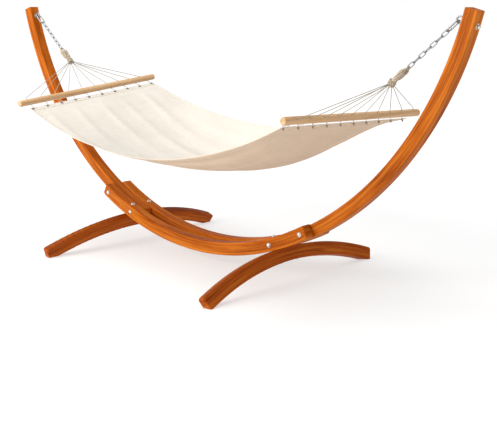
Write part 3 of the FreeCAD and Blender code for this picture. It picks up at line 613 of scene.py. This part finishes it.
def stitch(centre, along, normal):
    """One short stitch lying on the cloth."""
    half, radius = 0.0019, 0.00050
    side = np.cross(normal, along)
    points = [centre - along * (half + radius)]
    for place in (-half, half):
        for turn in range(5):
            angle = 2 * math.pi * turn / 5
            outward = math.cos(angle) * normal + math.sin(angle) * side
            points.append(centre + along * place + radius * outward)
    points.append(centre + along * (half + radius))
    faces = [(0, 1 + (turn + 1) % 5, 1 + turn) for turn in range(5)]
    faces += [(1 + turn, 1 + (turn + 1) % 5, 6 + (turn + 1) % 5, 6 + turn) for turn in range(5)]
    faces += [(11, 6 + turn, 6 + (turn + 1) % 5) for turn in range(5)]
    return points, faces


def stitching(bed, material):
    """Rows of stitches along every hem, on both faces of the cloth."""
    rows = []
    for edge in (-1, 1):
        v = edge * (1 - 0.0115 / BED_HALF_WIDTH)
        rows.append([(u, v) for u in np.linspace(-0.985, 0.985, 366)])
    for side in (-1, 1):
        for inset in (0.0045, 0.0325):
            u = side * (1 - inset * 0.94 / BED_HALF_LENGTH)
            rows.append([(u, v) for v in np.linspace(-0.985, 0.985, 165)])
    parts = []
    for row in rows:
        places = np.array(row)
        for face in (-1, 1):
            line = bed.at(places[:, 0], places[:, 1], np.full(len(places), face * 0.0019))
            skin = bed.at(places[:, 0], places[:, 1], np.full(len(places), face * 0.01))
            for before, here, after, above in zip(line, line[1:], line[2:], skin[1:]):
                along = (after - before) / np.linalg.norm(after - before)
                normal = (above - here) / np.linalg.norm(above - here)
                parts.append(stitch(here, along, normal))
    return joined("canvas_stitching", parts, material)


# ---------------------------------------------------------------- eyelets and cords

class Eyelet:
    """Where one eyelet is: its centre, its place along the hem, and the ways out to the bar and up."""

    def __init__(self, points, along, side):
        self.centre = Vector((points.min(0) + points.max(0)) / 2)
        upright = Vector((0, -along.z, along.y))
        self.out = Vector((side * math.cos(BED_SLOPE), 0, 0)) + upright * math.sin(BED_SLOPE)
        self.up = self.out.cross(along)
        if self.up.z < 0:
            self.up.negate()
        self.place = self.centre.dot(along)


def grommets(word, eyelets, material):
    """Pressed metal eyelets: a flange on each face, rolled round a short barrel."""
    profile = [(0.0040, -0.0014), (0.0043, -0.0024), (0.0052, -0.0028), (0.0066, -0.0026), (0.0075, -0.0019),
               (0.0074, -0.0016), (0.0062, -0.0017), (0.0052, -0.0012), (0.0052, 0.0012), (0.0062, 0.0017),
               (0.0074, 0.0016), (0.0075, 0.0019), (0.0066, 0.0026), (0.0052, 0.0028), (0.0043, 0.0024),
               (0.0040, 0.0014)]
    parts = [lathe(profile, eyelet.centre, eyelet.up, 28, closed=True) for eyelet in eyelets]
    return joined(word + "_grommets", parts, material)


def barrel_knot(top, down, cord_radius):
    """Control line of a stopper knot: a few turns round the cord's own end, then a short tail."""
    down = down.normalized()
    one = down.cross(Vector((0, 1, 0))).normalized()
    two = down.cross(one)
    turns, steps, reach = 3, 14, cord_radius * 1.75
    line = []
    for step in range(turns * steps + 1):
        angle = 2 * math.pi * step / steps
        sink = 0.0100 - 0.0026 * step / steps
        line.append(top + down * sink + one * reach * math.cos(angle) + two * reach * math.sin(angle))
    return np.array(line)


def clew(word, side, material):
    """The ten laid cords of one end, from the bound knot through the bar to the eyelets."""
    origin, down = suspension_line(side)
    _, fan = reach_along(word + "_whipping", origin, down)
    centre, along = bar_line(word)
    tilt = math.atan2(along.z, along.y)
    through = Matrix.Rotation(tilt, 3, "X") @ down
    eyelets = [Eyelet(points, along, side) for points in groups_along_y(word + "_eyelets", 0.02)]
    middle = sum(eyelet.place for eyelet in eyelets) / len(eyelets)
    bar_clear = 0.0195
    parts = []
    for index, eyelet in enumerate(eyelets):
        start = origin + down * (fan - 0.004)
        start += Vector((0, (index - 4.5) * 0.0030, 0))
        start += through.cross(along) * (0.0022 if index % 2 else -0.0022)
        hole = centre + along * (eyelet.place - middle)
        entry, leave = hole - through * bar_clear, hole + through * bar_clear
        towards = (start - entry).normalized()
        over = eyelet.centre + eyelet.up * 0.0085 + eyelet.out * 0.002
        back = (leave - over).normalized()
        controls = [start, start.lerp(entry, 0.5), entry + towards * 0.022, entry + towards * 0.004,
                    hole - through * 0.012, hole, hole + through * 0.012, leave,
                    over + back * 0.006, over, eyelet.centre + eyelet.up * 0.003,
                    eyelet.centre - eyelet.up * 0.004, eyelet.centre - eyelet.up * 0.016]
        parts.append(laid_strand(smooth_line(controls), CORD_RADIUS))
        parts.append(laid_strand(barrel_knot(eyelet.centre, -eyelet.up, CORD_RADIUS), 0.0015, pitch=0.008,
                                 spacing=0.0010, around=8))
    cords = joined(word + "_clew", parts, material)
    return cords, eyelets


def rope_loop(word, side, material):
    """The eye: seven strands that lie loosely in the legs and bunch up where they pass the link."""
    origin, down = suspension_line(side)
    top, _ = reach_along(word + "_rope_eye", origin, down)
    neck, _ = reach_along(word + "_whipping", origin, down)
    across = Vector((0, 1, 0))
    half = [(0.0050, neck + 0.008), (0.0072, neck - 0.004), (0.0116, neck - 0.024),
            (0.0128, top + 0.036), (0.0122, top + 0.014), (0.0080, top + 0.0035)]
    outline = [(-a, d) for a, d in half] + [(0.0, top + 0.0035)] + half[::-1]
    line = evenly(smooth_line([origin + across * a + down * d for a, d in outline]), 0.0015)
    first, second = frames_along(line)
    share = np.linspace(-1, 1, len(line))
    slack = np.clip((np.abs(share) - 0.15) / 0.24, 0, 1)
    slack = slack * slack * (3 - 2 * slack)
    pinch = np.clip((1 - np.abs(share)) / 0.22, 0, 1)
    fat = slack * (0.40 + 0.60 * pinch)
    parts = []
    for strand in range(7):
        angle = math.pi / 3 * strand + 1.6 * share
        away = (0.0023 + 0.0057 * fat) if strand else np.zeros(len(line))
        path = line + first * (away * np.cos(angle))[:, None] + second * (away * np.sin(angle))[:, None]
        parts.append(laid_strand(path, 0.00125 + 0.0030 * fat, pitch=0.016, spacing=0.0015, around=12))
    return joined(word + "_rope_loop", parts, material)


def bound_knot(word, side, material, shade):
    """The bound knot below the eye: turns of cord at the neck and a doubled three-part plait."""
    origin, down = suspension_line(side)
    neck, fan = reach_along(word + "_whipping", origin, down)
    one = down.cross(Vector((0, 1, 0))).normalized()
    two = down.cross(one)

    def around(angle, radius, height):
        return origin + down * height + (one * math.cos(angle) + two * math.sin(angle)) * radius

    core = [(0.0015, neck - 0.001), (0.0090, neck), (0.0098, neck + 0.010), (0.0125, neck + 0.015),
            (0.0138, neck + 0.024), (0.0132, fan - 0.004), (0.0120, fan - 0.0005), (0.0015, fan - 0.0005)]
    heart = joined(word + "_knot_heart", [lathe(core, origin, down)], shade)

    parts = []
    steps, turns, height = 28, 4, 0.0105
    coil = [around(2 * math.pi * step / steps, 0.0104 + 0.0012 * step / (steps * turns),
                   neck + 0.0012 + height * step / (steps * turns)) for step in range(steps * turns + 1)]
    parts.append(laid_strand(np.array(coil), 0.00150, pitch=0.009, spacing=0.0012, around=8))
    middle, half = (neck + 0.0125 + fan) / 2, (fan - neck - 0.0125) / 2 - 0.0020
    for strand in range(3):
        for offset in (-0.0014, 0.0014):
            loop = []
            for step in range(181):
                angle = 2 * math.pi * step / 180
                phase = 3 * angle + 2 * math.pi * strand / 3
                radius = 0.0158 + 0.0017 * math.sin(2 * phase)
                loop.append(around(angle, radius, middle + offset + half * math.sin(phase)))
            parts.append(laid_strand(np.array(loop), 0.00142, pitch=0.009, spacing=0.0013, around=8))
    binding = joined(word + "_bound_knot", parts, material)
    return heart, binding


# ---------------------------------------------------------------- dressing the CAD pieces

def dress_timbers():
    rails = laminated_timber("rail_timber", RAIL_CENTRE, (0, 0, -1), (1, 0, 0), RAIL_RADIUS,
                             RAIL_DEPTH, *ORANGE)
    dress("near_rail", rails)
    dress("far_rail", rails)
    for word, side in SIDES.items():
        centre = (side * ARM_CENTRE_OFFSET, 0.0, ARM_CENTRE_HEIGHT)
        dress(word + "_arm", laminated_timber(word + "_arm_timber", centre, (0, 0, -1), (1, 0, 0),
                                              ARM_RADIUS, ARM_DEPTH, *ORANGE))
        up = Vector((-side * math.sin(FOOT_ANGLE), 0, math.cos(FOOT_ANGLE)))
        seat = Vector((side * FOOT_SEAT[0], 0, FOOT_SEAT[2]))
        dress(word + "_foot", laminated_timber(word + "_foot_timber", seat - up * FOOT_RADIUS, up, (0, 1, 0),
                                               FOOT_RADIUS, FOOT_DEPTH, *REDDISH))
        centre, along = bar_line(word)
        dress(word + "_spreader_bar", pale_dowel(word + "_bar_wood", centre, along))


def dress_hardware():
    wire = plated_steel("zinc_wire", (0.34, 0.345, 0.355), 0.32, 0.48, 420.0)
    bright = plated_steel("bright_hardware", (0.80, 0.785, 0.75), 0.20, 0.34, 260.0)
    for word in SIDES:
        for node in ("snap_hook", "hook_gate", "gate_pin", "chain", "eye_bolt"):
            dress("%s_%s" % (word, node), wire)
        for node in ("cross_bolts", "cross_washers", "cross_nuts", "foot_bolts", "foot_washers", "foot_nuts",
                     "eye_washers", "eye_nut"):
            dress("%s_%s" % (word, node), bright)


# ---------------------------------------------------------------- the hammock

def build_hammock():
    cloth = canvas_cloth("cotton_canvas", (0.672, 0.630, 0.570), (0.722, 0.682, 0.622))
    # The underside's material is a tanner, darker copy of the canvas: painted shade for the cloth's shaded
    # underside.
    shaded_underside = canvas_cloth("cotton_canvas_shaded_underside", (0.670, 0.520, 0.385), (0.735, 0.578, 0.430))
    rope = cotton_cord("cotton_rope", (0.57, 0.48, 0.37), (0.36, 0.29, 0.21))
    # The cords' tone is set darker than the pale yarn: partly the yarn's colour, partly painted shade for
    # their shaded sides.
    cord = cotton_cord("cotton_cord", (0.43, 0.38, 0.31), (0.26, 0.22, 0.17))
    shade = cotton_cord("knot_shade", (0.46, 0.40, 0.32), (0.30, 0.25, 0.19))
    thread = cotton_cord("sewing_thread", (0.80, 0.74, 0.64), (0.62, 0.55, 0.45))
    metal = plated_steel("dark_eyelet", (0.20, 0.17, 0.13), 0.30, 0.46, 500.0)

    bed = Bed()
    sheet = bed_sheet(bed, cloth, shaded_underside)
    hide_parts("canvas_bed")
    pieces = [side_hem(bed, "near_side_hem", -1, cloth, shaded_underside),
              side_hem(bed, "far_side_hem", 1, cloth, shaded_underside),
              stitching(bed, thread)]
    for word, side in SIDES.items():
        cords, eyelets = clew(word, side, cord)
        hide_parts(word + "_clew_cords")
        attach(cords, "hammock_bed")
        middle = sum(eyelet.place for eyelet in eyelets) / len(eyelets)
        places = [eyelet.place - middle for eyelet in eyelets]
        pieces.append(end_hem(bed, word, side, places, cloth, shaded_underside))
        rings = grommets(word, eyelets, metal)
        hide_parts(word + "_eyelets")
        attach(rings, "hammock_bed")
        loop = rope_loop(word, side, rope)
        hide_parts(word + "_rope_eye")
        heart, binding = bound_knot(word, side, rope, shade)
        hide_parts(word + "_whipping")
        for piece in (loop, heart, binding):
            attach(piece, "hammock_bed")
    for piece in [sheet, *pieces]:
        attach(piece, "hammock_bed")


# ---------------------------------------------------------------- studio

def floor():
    graph = Graph("studio_floor")
    tone = graph.noise(graph.position(), 0.8, 2.0)
    colour = graph.ramp(tone, [(0.3, (0.38, 0.38, 0.38)), (0.7, (0.41, 0.41, 0.41))])
    away = graph.vector_math("LENGTH", graph.position())["Value"]
    distance = graph.math("DIVIDE", away, 12.0)
    glow = graph.ramp(distance, [(0.12, (0.54, 0.54, 0.54)), (0.45, (0.78, 0.78, 0.78))])
    graph.feed(graph.shader.inputs["Emission Color"], glow)
    material = graph.finish(colour, graph.spread(tone, 0.85, 0.95), {"Emission Strength": 1.0})
    reach, level = 40, -0.0005
    corners = ((-reach, -reach), (reach, -reach), (reach, reach), (-reach, reach))
    points = [(x, y, level) for x, y in corners]
    add_mesh("floor", points, [(0, 1, 2, 3)], material, smooth=False)


def area_light(name, place, target, width, watts, colour=(1, 1, 1)):
    light = bpy.data.lights.new(name, "AREA")
    light.size = width
    light.energy = watts
    light.color = colour
    holder = bpy.data.objects.new(name, light)
    bpy.context.scene.collection.objects.link(holder)
    holder.location = place
    holder.rotation_euler = (Vector(target) - Vector(place)).to_track_quat("-Z", "Y").to_euler()


def studio():
    world = bpy.data.worlds.new("studio")
    world.use_nodes = True
    backdrop = world.node_tree.nodes["Background"]
    backdrop.inputs["Color"].default_value = (1.0, 1.0, 1.0, 1.0)
    seen = world.node_tree.nodes.new("ShaderNodeLightPath").outputs["Is Camera Ray"]
    strength = world.node_tree.nodes.new("ShaderNodeMapRange")
    strength.inputs["To Min"].default_value = 0.62
    strength.inputs["To Max"].default_value = 1.0
    world.node_tree.links.new(seen, strength.inputs["Value"])
    world.node_tree.links.new(strength.outputs[0], backdrop.inputs["Strength"])
    bpy.context.scene.world = world
    bpy.context.scene.view_settings.view_transform = "Standard"
    area_light("key", (-2.2, -6.5, 2.9), (0, 0, 0.6), 4.0, 470, (1.0, 0.985, 0.96))
    area_light("top", (-0.9, -0.5, 6.0), (0, 0, 0.3), 4.0, 190)


def camera():
    azimuth, elevation = math.radians(42.757), math.radians(9.964)
    back = Vector((math.sin(azimuth) * math.cos(elevation), -math.cos(azimuth) * math.cos(elevation),
                   math.sin(elevation)))
    data = bpy.data.cameras.new("camera")
    data.sensor_width = 36
    data.lens = 66.99
    data.shift_x = -0.0812
    data.shift_y = -0.0966
    holder = bpy.data.objects.new("camera", data)
    holder.location = (3.509, -3.162, 1.298)
    holder.rotation_euler = (-back).to_track_quat("-Z", "Y").to_euler()
    bpy.context.scene.collection.objects.link(holder)
    bpy.context.scene.camera = holder


dress_timbers()
dress_hardware()
build_hammock()
floor()
studio()
camera()
